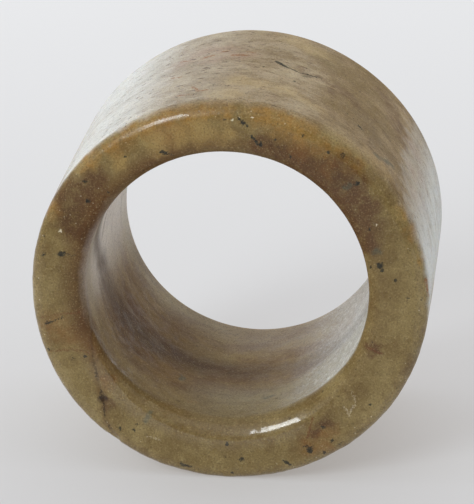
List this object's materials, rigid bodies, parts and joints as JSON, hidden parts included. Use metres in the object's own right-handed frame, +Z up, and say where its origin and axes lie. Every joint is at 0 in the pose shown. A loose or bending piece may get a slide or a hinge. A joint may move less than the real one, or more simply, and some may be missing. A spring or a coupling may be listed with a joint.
{
  "type": "archery thumb ring",
  "caption": "Thick cylindrical archer's thumb ring in carved jade, with a wide bore, rounded lips and a narrow resting flat along its side.",
  "frame": {"origin": "middle of the ring, on the axis of the outer wall and midway between the two end faces", "axes": "+Y along the bore axis towards the back end, -Y towards the end with the wide rounded mouth, +Z up away from the narrow resting flat, +X to the right seen from the front"},
  "size_m": [0.03, 0.021, 0.0299],
  "materials": {
    "jade": "polished, mottled olive, russet and mauve brown jade"
  },
  "bodies": {
    "root": {"thumb_ring": "jade"}
  },
  "joints": []
}
